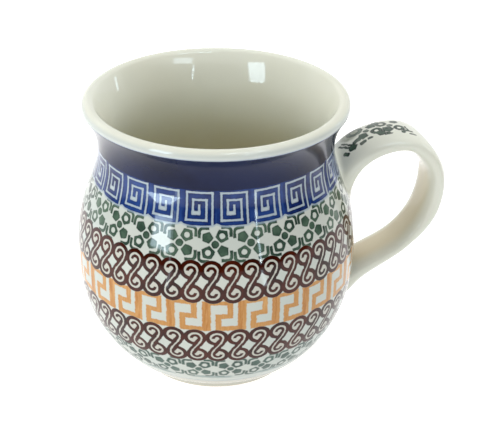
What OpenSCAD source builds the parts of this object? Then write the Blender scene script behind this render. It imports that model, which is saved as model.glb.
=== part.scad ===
// Round-bellied stoneware mug: a cast body and a cast strap handle stuck on with slip,
// stamped in bands under a clear glaze. The foot ring is bare where it stands.
// Z is up, the mug's axis is Z, the foot stands on Z = 0 and the handle points to +X.

/* [Mug] */
// Height from the table to the crest of the lip
mug_h = 95.5; // [95:0.5:98]
// Widest diameter of the belly
belly_d = 93; // [88:0.2:96]
// Height of the widest part of the belly
belly_z = 41; // [38:0.5:44]
// Diameter at the narrowest part of the neck
neck_d = 77.2; // [74:0.2:80]
// Height of the narrowest part of the neck
neck_z = 79; // [76:0.5:80]
// Outer diameter of the lip
rim_d = 86.4; // [80:0.2:88]
// Thickness of the wall, glaze included
wall_t = 4.2; // [3.8:0.1:4.5]
// Lean of the collar just under the lip, from upright
lip_lean = 34; // [28:1:36]

/* [Foot] */
// Outer diameter of the foot ring where it stands
foot_d = 53.5; // [50:0.5:54]
// Diameter where the belly grows out of the foot ring
ankle_d = 58; // [55:0.5:58]
// Height of the foot ring
foot_h = 3.4; // [3:0.1:4]
// Width of the bare ring that stands on the table
bare_w = 3.6; // [3:0.1:4.5]
// Depth of the hollow under the base
recess_h = 2.2; // [1.8:0.1:2.6]
// Height of the floor inside
floor_z = 6.6; // [6:0.1:8]

/* [Glaze and slip] */
// Thickness of the colour and glaze over the clay
glaze_t = 0.4; // [0.3:0.05:0.5]
// Thickness of the slip that joins the handle to the body
slip_t = 0.6; // [0.5:0.05:0.8]
// Height where the glaze stops above the table
bare_z = 1; // [0.8:0.1:1.2]

/* [Painted bands, by the height of their upper edges] */
// Plain zone above the foot
foot_zone_top = 10.4; // [9.5:0.1:11]
// Lower band of green rosettes
lower_rosette_top = 22.2; // [21:0.1:23]
// Lower band of brown scrolls
lower_scroll_top = 35.2; // [34:0.1:36]
// Band of ochre meander
meander_top = 45.7; // [45:0.1:47]
// Upper band of brown scrolls
upper_scroll_top = 58.2; // [57:0.1:59]
// Upper band of green rosettes
upper_rosette_top = 69.8; // [69:0.1:71]
// Band of blue square keys
key_top = 80; // [79.5:0.1:81]
// Band of plain cobalt
cobalt_top = 92.6; // [91.8:0.1:92.7]

/* [Hidden] */

// Strap handle, from the upper root to the lower one, in the plane Y = 0.
// Each station is [x, z, width across, thickness]; both ends run on into the mug and are cut off there.
handle_stations = [
    [38, 52, 17.5, 9.5],
    [44, 68, 18, 8.5],
    [54, 75, 18, 6.5],
    [66, 75, 18.5, 5.4],
    [74.3, 64.3, 17.6, 5.8],
    [73.1, 49.3, 16.2, 6.3],
    [64.2, 37.5, 15.2, 4.8],
    [49.4, 28.5, 15.4, 6.6],
    [42, 22.3, 16.5, 8.3],
    [33, 16.5, 17.5, 9]
];
handle_rings = 50;
handle_sides = 24;
handle_square = 2.4;       // exponent of the rounded section: 2 is an ellipse
root_rings = 12;           // rings at each end that can meet the wall

belly_r = belly_d / 2;
neck_r = neck_d / 2;
rim_r = rim_d / 2;
ankle_r = ankle_d / 2;
foot_r = foot_d / 2;
lip_z = mug_h - wall_t / 2;        // centre of the rounded lip
lip_r = rim_r - wall_t / 2;
collar_end_z = lip_z - wall_t / 2 * sin(lip_lean);
collar_end_r = lip_r + wall_t / 2 * cos(lip_lean);
flare = tan(lip_lean) * (collar_end_z - neck_z) / (collar_end_r - neck_r);
lip_start = max(-lip_lean, asin(max(-1, 2 * (cobalt_top - lip_z) / wall_t)));
row_h = 1.3;                       // height of one facet row of the profiles
slope_step = 0.02;
recess_r = foot_r - bare_w - 0.6;
inner_turn_z = 10;                 // the inside wall turns into the floor behind this height
inner_flat_r = 17;                 // the floor is flat inside this radius
joint_split_z = 45;                // between the two roots of the handle

cream = [0.86, 0.86, 0.79];
bare_clay = [0.80, 0.74, 0.64];
slip_grey = [0.74, 0.70, 0.62];
cobalt = [0.13, 0.15, 0.27];
key_blue = [0.20, 0.29, 0.50];
rosette_green = [0.45, 0.55, 0.48];
scroll_brown = [0.45, 0.28, 0.22];
meander_ochre = [0.83, 0.65, 0.42];

$fn = 128;

// ---- profile of the glazed outside ----

// Lower belly, from the ankle up to the widest part
function belly_low_r(z) =
    let (u = (belly_z - z) / (belly_z - foot_h))
    ankle_r + (belly_r - ankle_r) * pow(max(0, 1 - pow(u, 2.3)), 0.85);

// Upper belly, drawn in to the neck
function belly_high_r(z) =
    let (v = (z - belly_z) / (neck_z - belly_z))
    neck_r + (belly_r - neck_r) * (1 + cos(180 * pow(v, 1.4))) / 2;

// Collar, flaring from the neck into the rounded lip
function collar_r(z) =
    z > collar_end_z ? lip_r + sqrt(max(0, pow(wall_t / 2, 2) - pow(z - lip_z, 2)))
    : neck_r + (collar_end_r - neck_r) * pow((z - neck_z) / (collar_end_z - neck_z), flare);

function foot_side_r(z) = foot_r + (ankle_r - foot_r) * z / foot_h;

function outer_r(z) =
    z <= foot_h ? foot_side_r(z)
    : z <= belly_z ? belly_low_r(z)
    : z <= neck_z ? belly_high_r(z)
    : collar_r(min(z, lip_z));

function rise(z) = (outer_r(z + slope_step) - outer_r(z - slope_step)) / (2 * slope_step);

// How far a surface t deep lies in from the outside, measured level
function level_depth(z, t) = t * sqrt(1 + pow(min(rise(z), 1.6), 2));

function under_r(z, t) = outer_r(z) - level_depth(z, t);

// Heights from one edge to the other in even rows
function rows(low, high) =
    let (n = ceil((high - low) / row_h))
    [for (i = [0:n]) low + (high - low) * i / n];

band_edges = [
    bare_z, foot_h, foot_zone_top, lower_rosette_top, lower_scroll_top, meander_top,
    upper_scroll_top, upper_rosette_top, key_top, cobalt_top
];

// The profile t below the glazed outside, through every band edge
function outside_line(t) = [
    for (b = [1:len(band_edges) - 1])
        for (z = rows(band_edges[b - 1], band_edges[b]))
            if (b == 1 || z > band_edges[b - 1]) [under_r(z, t), z]
];

// Outside of the collar over the cobalt, if it goes on there before the lip
function collar_rest(t) = cobalt_top >= collar_end_z ? [] : [
    for (z = rows(cobalt_top, collar_end_z)) if (z > cobalt_top) [under_r(z, t), z]
];

// Rounded lip from the cobalt over to the inside, t below the glaze
function lip_line(t) = [
    for (i = [1:14])
        let (a = lip_start + (180 - lip_lean - lip_start) * i / 14)
        [lip_r + (wall_t / 2 - t) * cos(a), lip_z + (wall_t / 2 - t) * sin(a)]
];

// Point of the inside wall behind height z of the outside, t below its glaze
function inside_point(z, t) =
    let (lean = atan(rise(z))) [outer_r(z) - (wall_t - t) * cos(lean), z + (wall_t - t) * sin(lean)];

// Inside wall from the lip down, then the turn into the flat floor
function inside_wall(t) = [
    for (z = reversed(rows(inner_turn_z, collar_end_z))) if (z < collar_end_z) inside_point(z, t)
];

function bezier(a, b, c, d, t) =
    pow(1 - t, 3) * a + 3 * pow(1 - t, 2) * t * b + 3 * (1 - t) * t * t * c + pow(t, 3) * d;

function inside_floor(t) =
    let (
        wall = inside_point(inner_turn_z, t),
        low = floor_z - t
    )
    [
        for (i = [1:8])
            bezier(wall, wall - [3, 3.4], [inner_flat_r + 7, low], [inner_flat_r, low], i / 8)
    ];

// Recess under the base, from the bare ring in to the axis, t above its glaze
function recess_line(t) = [
    [recess_r + 0.3 + t, bare_z],
    [recess_r - 0.4 + t, recess_h - 0.5 + t],
    [recess_r - 1.2 + t, recess_h + t],
    [0, recess_h + 0.3 + t]
];

// Bare clay ring between the two glaze edges, outside to inside
bare_ring = [
    [foot_r - 0.2, 0.3],
    [foot_r - 0.6, 0],
    [foot_r - bare_w + 0.4, 0],
    [foot_r - bare_w, 0.3]
];

function reversed(list) = [for (i = [len(list) - 1:-1:0]) list[i]];

// ---- shapes that several pieces share ----

// The whole mug without its hollow, t below the glazed outside
module filled_mug(t) {
    rotate_extrude()
        polygon(concat(
            [[0, recess_h + 1], [foot_r - 2, recess_h + 1], [foot_r - 2, bare_z]],
            outside_line(t),
            collar_rest(t),
            [for (p = lip_line(t)) if (p[0] > lip_r) p],
            [[0, mug_h - t]]
        ));
}

// Ring of colour and glaze over the given heights, from the lowest up
module glaze_ring(levels) {
    rotate_extrude()
        polygon(concat(
            [for (z = levels) [outer_r(z), z]],
            [for (z = reversed(levels)) [under_r(z, glaze_t), z]]
        ));
}

// Catmull-Rom curve through the handle's stations; t runs from 0 to 1
function station(i) =
    let (last = len(handle_stations) - 1)
    i < 0 ? 2 * handle_stations[0] - handle_stations[1]
    : i > last ? 2 * handle_stations[last] - handle_stations[last - 1]
    : handle_stations[i];

function along_handle(t) =
    let (
        spans = len(handle_stations) - 1,
        k = min(floor(t * spans), spans - 1),
        f = t * spans - k,
        a = station(k - 1), b = station(k), c = station(k + 1), d = station(k + 2)
    )
    0.5 * (2 * b + (c - a) * f + (2 * a - 5 * b + 4 * c - d) * f * f
        + (3 * b - a - 3 * c + d) * f * f * f);

function signed_pow(v, p) = sign(v) * pow(abs(v), p);

// One closed section of the handle, grown by g all round
function handle_ring(t, g) =
    let (
        here = along_handle(t),
        step = along_handle(min(t + 0.002, 1)) - along_handle(max(t - 0.002, 0)),
        run = norm([step[0], step[1]]),
        out = [-step[1], step[0]] / run
    )
    [
        for (j = [0:handle_sides - 1])
            let (
                a = 360 * j / handle_sides,
                n = (here[3] / 2 + g) * signed_pow(cos(a), 2 / handle_square),
                side = (here[2] / 2 + g) * signed_pow(sin(a), 2 / handle_square)
            )
            [here[0] + out[0] * n, side, here[1] + out[1] * n]
    ];

// Sides between ring i and ring i + 1, as triangles
function side_faces(first, last, offset, flip) = [
    for (i = [first:last - 1])
        for (j = [0:handle_sides - 1])
            for (half = [0:1])
                let (
                    jn = (j + 1) % handle_sides,
                    a = offset + i * handle_sides + j,
                    b = offset + i * handle_sides + jn,
                    c = offset + (i + 1) * handle_sides + jn,
                    d = offset + (i + 1) * handle_sides + j,
                    tri = half == 0 ? [a, b, c] : [a, c, d]
                )
                flip ? reversed(tri) : tri
];

// The handle's solid from ring number first to ring number last
module handle_sweep(first, last) {
    count = last - first;
    points = [for (i = [first:last]) each handle_ring(i / handle_rings, 0)];
    polyhedron(
        points,
        concat(
            [[for (j = [handle_sides - 1:-1:0]) j]],
            side_faces(0, count, 0, false),
            [[for (j = [0:handle_sides - 1]) count * handle_sides + j]]
        )
    );
}

// A ring of glaze with the places left open where the handle is stuck to the clay
module glaze_ring_round_handle(levels, first, last) {
    difference() {
        glaze_ring(levels);
        handle_sweep(first, last);
    }
}

// Slip between the body's clay and the handle's clay
module slip_joint(first, last) {
    difference() {
        intersection() {
            handle_sweep(first, last);
            filled_mug(glaze_t - slip_t);
        }
        filled_mug(glaze_t);
    }
}

// ---- pieces ----

module stoneware_body() {
    color(bare_clay)
        rotate_extrude()
            polygon(concat(
                reversed(recess_line(glaze_t)),
                reversed(bare_ring),
                outside_line(glaze_t),
                collar_rest(glaze_t),
                lip_line(glaze_t),
                inside_wall(glaze_t),
                inside_floor(glaze_t),
                [[0, floor_z - glaze_t]]
            ));
}

module handle() {
    color(bare_clay)
        difference() {
            handle_sweep(0, handle_rings);
            filled_mug(glaze_t - slip_t);
        }
}

module upper_slip_joint() {
    color(slip_grey) slip_joint(0, root_rings);
}

module lower_slip_joint() {
    color(slip_grey) slip_joint(handle_rings - root_rings, handle_rings);
}

// Clear glaze over the inside and the lip, down to the cobalt
module inner_glaze() {
    color(cream)
        rotate_extrude()
            polygon(concat(
                [[outer_r(cobalt_top), cobalt_top]],
                collar_rest(0),
                lip_line(0),
                inside_wall(0),
                inside_floor(0),
                [[0, floor_z], [0, floor_z - glaze_t]],
                reversed(inside_floor(glaze_t)),
                reversed(inside_wall(glaze_t)),
                reversed(lip_line(glaze_t)),
                reversed(collar_rest(glaze_t)),
                [[under_r(cobalt_top, glaze_t), cobalt_top]]
            ));
}

module cobalt_band() {
    color(cobalt) glaze_ring(rows(key_top, cobalt_top));
}

module key_band() {
    color(key_blue) glaze_ring(rows(upper_rosette_top, key_top));
}

module upper_rosette_band() {
    color(rosette_green)
        glaze_ring_round_handle(rows(upper_scroll_top, upper_rosette_top), 0, root_rings);
}

module upper_scroll_band() {
    color(scroll_brown)
        glaze_ring_round_handle(rows(meander_top, upper_scroll_top), 0, root_rings);
}

module meander_band() {
    color(meander_ochre) glaze_ring(rows(lower_scroll_top, meander_top));
}

module lower_scroll_band() {
    color(scroll_brown)
        glaze_ring_round_handle(rows(lower_rosette_top, lower_scroll_top),
            handle_rings - root_rings, handle_rings);
}

module lower_rosette_band() {
    color(rosette_green)
        glaze_ring_round_handle(rows(foot_zone_top, lower_rosette_top),
            handle_rings - root_rings, handle_rings);
}

// Cream zone from the last band down over the foot ring
module foot_glaze() {
    above_foot = [for (z = rows(foot_h, foot_zone_top)) if (z > foot_h) z];
    color(cream) glaze_ring(concat(rows(bare_z, foot_h), above_foot));
}

// Glaze in the hollow under the base
module base_glaze() {
    color(cream)
        rotate_extrude()
            polygon(concat(recess_line(0), reversed(recess_line(glaze_t))));
}

// Glaze all round the handle, with the green stamps under it
module handle_glaze() {
    count = handle_rings;
    inner = [for (i = [0:count]) each handle_ring(i / count, 0)];
    outer = [for (i = [0:count]) each handle_ring(i / count, glaze_t)];
    shift = len(inner);
    ends = [
        for (j = [0:handle_sides - 1])
            let (jn = (j + 1) % handle_sides)
            each [
                [j, jn, shift + jn, shift + j],
                [
                    count * handle_sides + jn, count * handle_sides + j,
                    shift + count * handle_sides + j, shift + count * handle_sides + jn
                ]
            ]
    ];
    color(cream)
        difference() {
            polyhedron(
                concat(inner, outer),
                concat(side_faces(0, count, 0, true), side_faces(0, count, shift, false), ends)
            );
            filled_mug(0);
        }
}

stoneware_body();
handle();
upper_slip_joint();
lower_slip_joint();
inner_glaze();
cobalt_band();
key_band();
upper_rosette_band();
upper_scroll_band();
meander_band();
lower_scroll_band();
lower_rosette_band();
foot_glaze();
base_glaze();
handle_glaze();
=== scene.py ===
import math
import bpy
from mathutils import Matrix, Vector


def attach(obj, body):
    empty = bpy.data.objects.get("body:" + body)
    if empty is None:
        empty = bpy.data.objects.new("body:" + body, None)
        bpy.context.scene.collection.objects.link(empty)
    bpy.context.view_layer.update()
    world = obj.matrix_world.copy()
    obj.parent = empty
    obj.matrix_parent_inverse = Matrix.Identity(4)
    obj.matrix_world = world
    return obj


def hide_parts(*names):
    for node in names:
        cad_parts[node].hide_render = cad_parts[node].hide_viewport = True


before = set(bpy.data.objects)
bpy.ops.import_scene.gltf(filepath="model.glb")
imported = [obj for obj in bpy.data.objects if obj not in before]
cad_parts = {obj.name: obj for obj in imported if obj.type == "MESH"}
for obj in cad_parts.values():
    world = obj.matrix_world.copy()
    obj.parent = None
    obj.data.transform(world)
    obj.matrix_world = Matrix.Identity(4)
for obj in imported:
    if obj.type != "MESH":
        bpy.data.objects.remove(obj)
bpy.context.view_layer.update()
mm = 0.001
print("frame loaded:", len(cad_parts), "solids")

# ---- the mug's own measures, in millimetres, the same as in the part's source ----

mugShape = {
    "height": 95.5, "wall": 4.2, "coat": 0.4, "lipLean": math.radians(34),
    "bellyRadius": 46.5, "bellyHeight": 41.0, "neckRadius": 38.6, "neckHeight": 79.0, "rimRadius": 43.2,
    "footRadius": 26.75, "footHeight": 3.4, "ankleRadius": 29.0, "bareWidth": 3.6, "bareHeight": 1.0,
    "recess": 2.2, "recessCrown": 0.3, "recessEdge": 0.6,
    "floorHeight": 6.6, "floorTurn": 10.0, "floorFlat": 17.0,
    "bellyCurve": (2.3, 0.85), "shoulderCurve": 1.4, "steepest": 1.6,
}
# how finely the pieces are made, and how they are welded and smoothed
meshDetail = {"sides": 192, "slopeStep": 0.02, "tableStep": 0.05, "weld": 0.004, "smooth": math.radians(40)}

# upper edges of the painted bands
bandTops = {
    "foot": 10.4, "lowerRosette": 22.2, "lowerScroll": 35.2, "meander": 45.7,
    "upperScroll": 58.2, "upperRosette": 69.8, "key": 80.0, "cobalt": 92.6,
}

# the lip is a half circle about this point, and the collar runs into it at a lean
lipHeight = mugShape["height"] - mugShape["wall"] / 2
lipRadius = mugShape["rimRadius"] - mugShape["wall"] / 2
collarEnd = (lipRadius + mugShape["wall"] / 2 * math.cos(mugShape["lipLean"]),
             lipHeight - mugShape["wall"] / 2 * math.sin(mugShape["lipLean"]))


def outerRadius(z):
    shape = mugShape
    if z <= shape["footHeight"]:
        return shape["footRadius"] + (shape["ankleRadius"] - shape["footRadius"]) * z / shape["footHeight"]
    if z <= shape["bellyHeight"]:
        down = (shape["bellyHeight"] - z) / (shape["bellyHeight"] - shape["footHeight"])
        inward, outward = shape["bellyCurve"]
        swell = max(0.0, 1 - down ** inward) ** outward
        return shape["ankleRadius"] + (shape["bellyRadius"] - shape["ankleRadius"]) * swell
    if z <= shape["neckHeight"]:
        up = (z - shape["bellyHeight"]) / (shape["neckHeight"] - shape["bellyHeight"])
        ease = (1 + math.cos(math.pi * up ** shape["shoulderCurve"])) / 2
        return shape["neckRadius"] + (shape["bellyRadius"] - shape["neckRadius"]) * ease
    if z > collarEnd[1]:
        below = lipHeight - min(z, lipHeight)
        return lipRadius + math.sqrt(max(0.0, (shape["wall"] / 2) ** 2 - below ** 2))
    rise, run = collarEnd[1] - shape["neckHeight"], collarEnd[0] - shape["neckRadius"]
    flare = math.tan(shape["lipLean"]) * rise / run
    return shape["neckRadius"] + run * ((z - shape["neckHeight"]) / rise) ** flare


def wallSlope(z):
    step = meshDetail["slopeStep"]
    return (outerRadius(z + step) - outerRadius(z - step)) / (2 * step)


def underRadius(z, depth):
    return outerRadius(z) - depth * math.sqrt(1 + min(wallSlope(z), mugShape["steepest"]) ** 2)


# length of the wall's outline from the table up, for laying the stamps along it
wallTable = [(0.0, 0.0)]
while wallTable[-1][0] < lipHeight:
    lastZ, lastLength = wallTable[-1]
    nextZ = min(lastZ + meshDetail["tableStep"], lipHeight)
    added = math.hypot(nextZ - lastZ, outerRadius(nextZ) - outerRadius(lastZ))
    wallTable.append((nextZ, lastLength + added))


def alongWall(z):
    place = min(max(z / meshDetail["tableStep"], 0), len(wallTable) - 2)
    low, high = wallTable[int(place)], wallTable[int(place) + 1]
    return low[1] + (z - low[0]) * (high[1] - low[1]) / (high[0] - low[0])


# ---- pieces turned about the mug's axis ----

def evenHeights(low, high, step):
    count = max(1, math.ceil((high - low) / step))
    return [low + (high - low) * i / count for i in range(count + 1)]


def turnOnAxis(name, line):
    # line goes from ring to ring as (radius, height), back to where it began or to beside the axis
    bpy.ops.object.select_all(action="DESELECT")
    radius, height = line[0]
    bpy.ops.mesh.primitive_circle_add(
        vertices=meshDetail["sides"], radius=radius * mm, location=(0, 0, height * mm))
    piece = bpy.context.object
    piece.name = name
    piece.data.name = name
    bpy.ops.object.transform_apply(location=True, rotation=True, scale=True)
    bpy.ops.object.mode_set(mode="EDIT")
    bpy.ops.mesh.select_all(action="SELECT")
    for nextRadius, nextHeight in line[1:]:
        bpy.ops.mesh.extrude_region_move(
            TRANSFORM_OT_translate={"value": (0, 0, (nextHeight - height) * mm)})
        grow = nextRadius / radius
        bpy.ops.transform.resize(value=(grow, grow, 1), center_override=(0, 0, nextHeight * mm))
        radius, height = nextRadius, nextHeight
    return piece


def closeShell(piece):
    bpy.ops.mesh.select_all(action="SELECT")
    bpy.ops.mesh.remove_doubles(threshold=meshDetail["weld"] * mm)
    bpy.ops.mesh.normals_make_consistent(inside=False)
    bpy.ops.object.mode_set(mode="OBJECT")
    bpy.ops.object.shade_smooth_by_angle(angle=meshDetail["smooth"])


# the rings where a turned piece stops beside the axis, before each is drawn together to a pole
poleRing = {"radius": 1.0, "reach": 1.2, "level": 0.01}


def drawToPoles(piece, heights):
    for height in heights:
        bpy.ops.mesh.select_all(action="DESELECT")
        bpy.ops.object.mode_set(mode="OBJECT")
        for point in piece.data.vertices:
            onRing = abs(point.co.z - height * mm) < poleRing["level"] * mm
            point.select = onRing and math.hypot(point.co.x, point.co.y) < poleRing["reach"] * mm
        bpy.ops.object.mode_set(mode="EDIT")
        bpy.ops.mesh.extrude_region_move()
        bpy.ops.mesh.merge(type="CENTER")


def wrapStamps(piece):
    # U counts turns round the axis, V is the length along the wall in tenths of a metre
    layer = piece.data.uv_layers.new(name="wrap")
    for face in piece.data.polygons:
        middle = math.atan2(face.center.y, face.center.x)
        for corner in face.loop_indices:
            point = piece.data.vertices[piece.data.loops[corner].vertex_index].co
            turn = math.atan2(point.y, point.x)
            if turn - middle > math.pi:
                turn -= 2 * math.pi
            if middle - turn > math.pi:
                turn += 2 * math.pi
            if middle < 0:
                turn += 2 * math.pi
            layer.data[corner].uv = (turn / (2 * math.pi), alongWall(point.z / mm) / 100)


# bake map: the seen face of a ring is cut into lanes one above the other, and the hidden faces lie below
bakeMap = {"lanes": 4, "margin": 0.01, "laneFoot": 0.055, "laneSpan": 0.94, "laneGap": 0.03,
           "hiddenFoot": 0.002, "hiddenSpan": 0.045}


def layOutRing(piece, low, high):
    layer = piece.data.uv_layers.new(name="OFBake")
    wrap = piece.data.uv_layers["wrap"]
    start, end = alongWall(low) / 100, alongWall(high) / 100
    lanes, margin, gap = bakeMap["lanes"], bakeMap["margin"], bakeMap["laneGap"]
    laneHeight = bakeMap["laneSpan"] / lanes
    hidden = []
    for face in piece.data.polygons:
        corners = list(face.loop_indices)
        turns = [wrap.data[c].uv.x for c in corners]
        lengths = [wrap.data[c].uv.y for c in corners]
        facesOut = face.center.x * face.normal.x + face.center.y * face.normal.y > 0
        if not facesOut or max(lengths) - min(lengths) < 1e-7:
            hidden.append(face)
            continue
        lane = int(sum(turns) / len(turns) * lanes)
        for c, turn, length in zip(corners, turns, lengths):
            share = (length - start) / (end - start)
            layer.data[c].uv = (margin + (1 - 2 * margin) * (turn * lanes - lane),
                                bakeMap["laneFoot"] + laneHeight * (lane + gap + (1 - 2 * gap) * share))
    sides = meshDetail["sides"]
    rows = max(1, math.ceil(len(hidden) / sides))
    square = [(0, 0), (1, 0), (1, 1), (0, 1)]
    for number, face in enumerate(sorted(hidden, key=lambda f: (round(f.center.z, 6), f.index))):
        row, column = divmod(number, sides)
        for c, (x, y) in zip(face.loop_indices, square):
            layer.data[c].uv = (margin + (1 - 2 * margin) * (column + x) / sides,
                                bakeMap["hiddenFoot"] + bakeMap["hiddenSpan"] * (row + y) / rows)


def makeRingCoat(name, seen, low, high, hiddenRows):
    hidden = [(underRadius(z, mugShape["coat"]), z) for z in reversed(hiddenRows)]
    piece = turnOnAxis(name, seen + hidden + seen[:1])
    closeShell(piece)
    wrapStamps(piece)
    layOutRing(piece, low, high)
    return piece


bandRows = {"edge": 0.06, "seen": 0.65, "hidden": 2.0}


def makeBandCoat(name, low, high):
    edge = bandRows["edge"]
    heights = [low, low + edge] + evenHeights(low, high, bandRows["seen"])[1:-1] + [high - edge, high]
    seen = [(outerRadius(z), z) for z in heights]
    return makeRingCoat(name, seen, low, high, evenHeights(low, high, bandRows["hidden"]))


bandPieces = {
    "cobaltBand": {"node": "cobalt_band", "low": "key", "high": "cobalt"},
    "keyBand": {"node": "key_band", "low": "upperRosette", "high": "key"},
    "upperRosetteBand": {"node": "upper_rosette_band", "low": "upperScroll", "high": "upperRosette"},
    "upperScrollBand": {"node": "upper_scroll_band", "low": "meander", "high": "upperScroll"},
    "meanderBand": {"node": "meander_band", "low": "lowerScroll", "high": "meander"},
    "lowerScrollBand": {"node": "lower_scroll_band", "low": "lowerRosette", "high": "lowerScroll"},
    "lowerRosetteBand": {"node": "lower_rosette_band", "low": "foot", "high": "lowerRosette"},
}
made = {}
for name, band in bandPieces.items():
    made[name] = makeBandCoat(name, bandTops[band["low"]], bandTops[band["high"]])
    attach(made[name], "root")
    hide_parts(band["node"])
print("painted bands turned:", len(made))

# glaze on the foot, rounded where it stops above the bare ring
footCoat = {"bead": 0.45, "beadSteps": 5, "seen": 0.5, "hidden": 1.4}


def makeFootCoat():
    low, ankle, high = mugShape["bareHeight"], mugShape["footHeight"], bandTops["foot"]
    bead, edge, step = footCoat["bead"], bandRows["edge"], footCoat["seen"]
    seen = []
    for i in range(footCoat["beadSteps"] + 1):
        a = math.pi / 2 * i / footCoat["beadSteps"]
        z = low + bead * (1 - math.cos(a))
        seen.append((outerRadius(z) - mugShape["coat"] * (1 - math.sin(a)), z))
    heights = evenHeights(low + bead, ankle, step)[1:] + evenHeights(ankle, high, step)[1:-1]
    seen += [(outerRadius(z), z) for z in heights + [high - edge, high]]
    return makeRingCoat("footGlaze", seen, low, high, evenHeights(ankle, high, footCoat["hidden"]))


made["footGlaze"] = makeFootCoat()
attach(made["footGlaze"], "root")
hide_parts("foot_glaze")

# cream glaze over the lip, down the inside wall and across the floor
liningShape = {"lipSteps": 20, "rowStep": 1.0, "floorSteps": 14, "cornerPull": (3, 3.4), "flatPull": 7,
               "floorRings": (12, 7, 3, poleRing["radius"])}


def bezier(a, b, c, d, t):
    k = 1 - t
    return tuple(k ** 3 * a[i] + 3 * k * k * t * b[i] + 3 * k * t * t * c[i] + t ** 3 * d[i]
                 for i in (0, 1))


def insidePoint(z, depth):
    # the inside wall, square to the outside at height z
    lean = math.atan(wallSlope(z))
    through = mugShape["wall"] - depth
    return (outerRadius(z) - through * math.cos(lean), z + through * math.sin(lean))


def liningLine(depth):
    half = mugShape["wall"] / 2
    steps = liningShape["lipSteps"]
    line = []
    first = math.asin((bandTops["cobalt"] - lipHeight) / half)
    last = math.pi - mugShape["lipLean"]
    for i in range(1, steps + 1):
        a = first + (last - first) * i / steps
        line.append((lipRadius + (half - depth) * math.cos(a), lipHeight + (half - depth) * math.sin(a)))
    for z in reversed(evenHeights(mugShape["floorTurn"], collarEnd[1], liningShape["rowStep"])[:-1]):
        line.append(insidePoint(z, depth))
    radius, turn = line[-1]
    low, flat = mugShape["floorHeight"] - depth, mugShape["floorFlat"]
    inward, down = liningShape["cornerPull"]
    pulled = ((radius - inward, turn - down), (flat + liningShape["flatPull"], low))
    steps = liningShape["floorSteps"]
    for i in range(1, steps + 1):
        line.append(bezier((radius, turn), *pulled, (flat, low), i / steps))
    return line + [(r, low) for r in liningShape["floorRings"]]


def makeLining():
    coat = mugShape["coat"]
    edge = bandTops["cobalt"]
    seen = [(outerRadius(edge), edge)] + liningLine(0)
    hidden = [(underRadius(edge, coat), edge)] + liningLine(coat)
    piece = turnOnAxis("innerGlaze", list(reversed(hidden)) + seen)
    drawToPoles(piece, [mugShape["floorHeight"], mugShape["floorHeight"] - coat])
    closeShell(piece)
    return piece


made["innerGlaze"] = makeLining()
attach(made["innerGlaze"], "root")
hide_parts("inner_glaze")
print("lining turned")

# glaze in the hollow under the base; the edge's curve is laid off from the hollow's rim and its roof
baseShape = {"edgeStart": 0.3, "edgePulls": ((-0.3, -0.6), (-0.9, -0.05)), "edgeEnd": (-1.9, 0.02),
             "edgeSteps": 8, "rings": (16, 12, 8, 4, poleRing["radius"])}
hollowRim = mugShape["footRadius"] - mugShape["bareWidth"] - mugShape["recessEdge"]


def roofHeight(radius):
    return mugShape["recess"] + mugShape["recessCrown"] * (1 - radius / hollowRim)


def baseLine(lift):
    roof = mugShape["recess"]
    curve = [(hollowRim + baseShape["edgeStart"] + lift, mugShape["bareHeight"])]
    curve += [(hollowRim + out + lift, roof + up + lift) for out, up in baseShape["edgePulls"]]
    curve.append((hollowRim + baseShape["edgeEnd"][0], roof + baseShape["edgeEnd"][1] + lift))
    steps = baseShape["edgeSteps"]
    line = [bezier(*curve, i / steps) for i in range(steps + 1)]
    return line + [(r, roofHeight(r) + lift) for r in baseShape["rings"]]


def makeBaseGlaze():
    coat = mugShape["coat"]
    piece = turnOnAxis("baseGlaze", list(reversed(baseLine(coat))) + baseLine(0))
    pole = roofHeight(poleRing["radius"])
    drawToPoles(piece, [pole, pole + coat])
    closeShell(piece)
    return piece


made["baseGlaze"] = makeBaseGlaze()
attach(made["baseGlaze"], "root")
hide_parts("base_glaze")

# ---- the handle's glaze, drawn out along the handle and flared on to the body ----

handleShape = {
    # x, height, width across, thickness; the same stations as in the part's source
    "stations": [
        (38, 52, 17.5, 9.5), (44, 68, 18, 8.5), (54, 75, 18, 6.5), (66, 75, 18.5, 5.4),
        (74.3, 64.3, 17.6, 5.8), (73.1, 49.3, 16.2, 6.3), (64.2, 37.5, 15.2, 4.8), (49.4, 28.5, 15.4, 6.6),
        (42, 22.3, 16.5, 8.3), (33, 16.5, 17.5, 9),
    ],
    "rings": 104, "sides": 56, "square": 2.4, "skin": 0.37,
    "span": (0.06, 0.965),                    # the share of the stations' run that is drawn
    # width of the smoothed root on the body: at the crown, at the sides and underneath
    "upperFlare": (2.6, 0.9, 4.2), "lowerFlare": (3.2, 1.4, 2.6),
    "upperSearch": (0.0, 0.3), "lowerSearch": (1.0, 0.72),
    "settled": 16, "settleCurve": 1.6,        # rings at each end that follow the body
    "sink": 0.25, "clear": 0.01, "smooth": math.radians(50),
}


def stationAt(t):
    stations = handleShape["stations"]
    last = len(stations) - 1
    k = min(int(t * last), last - 1)
    f = t * last - k

    def pick(i):
        if i < 0:
            return [2 * a - b for a, b in zip(stations[0], stations[1])]
        if i > last:
            return [2 * a - b for a, b in zip(stations[last], stations[last - 1])]
        return stations[i]

    a, b, c, d = pick(k - 1), pick(k), pick(k + 1), pick(k + 2)
    return [0.5 * (2 * b[n] + (c[n] - a[n]) * f + (2 * a[n] - 5 * b[n] + 4 * c[n] - d[n]) * f * f
                   + (3 * b[n] - a[n] - 3 * c[n] + d[n]) * f ** 3) for n in range(4)]


def headingAt(t):
    step = 0.002
    before, after = stationAt(max(t - step, 0)), stationAt(min(t + step, 1))
    return math.atan2(after[0] - before[0], after[1] - before[1])


def roundedSection(a):
    # out and sideways on a section one unit across each way, squarer than an ellipse
    power = 2 / handleShape["square"]
    out, side = math.cos(a), math.sin(a)
    return math.copysign(abs(out) ** power, out), math.copysign(abs(side) ** power, side)


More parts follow.
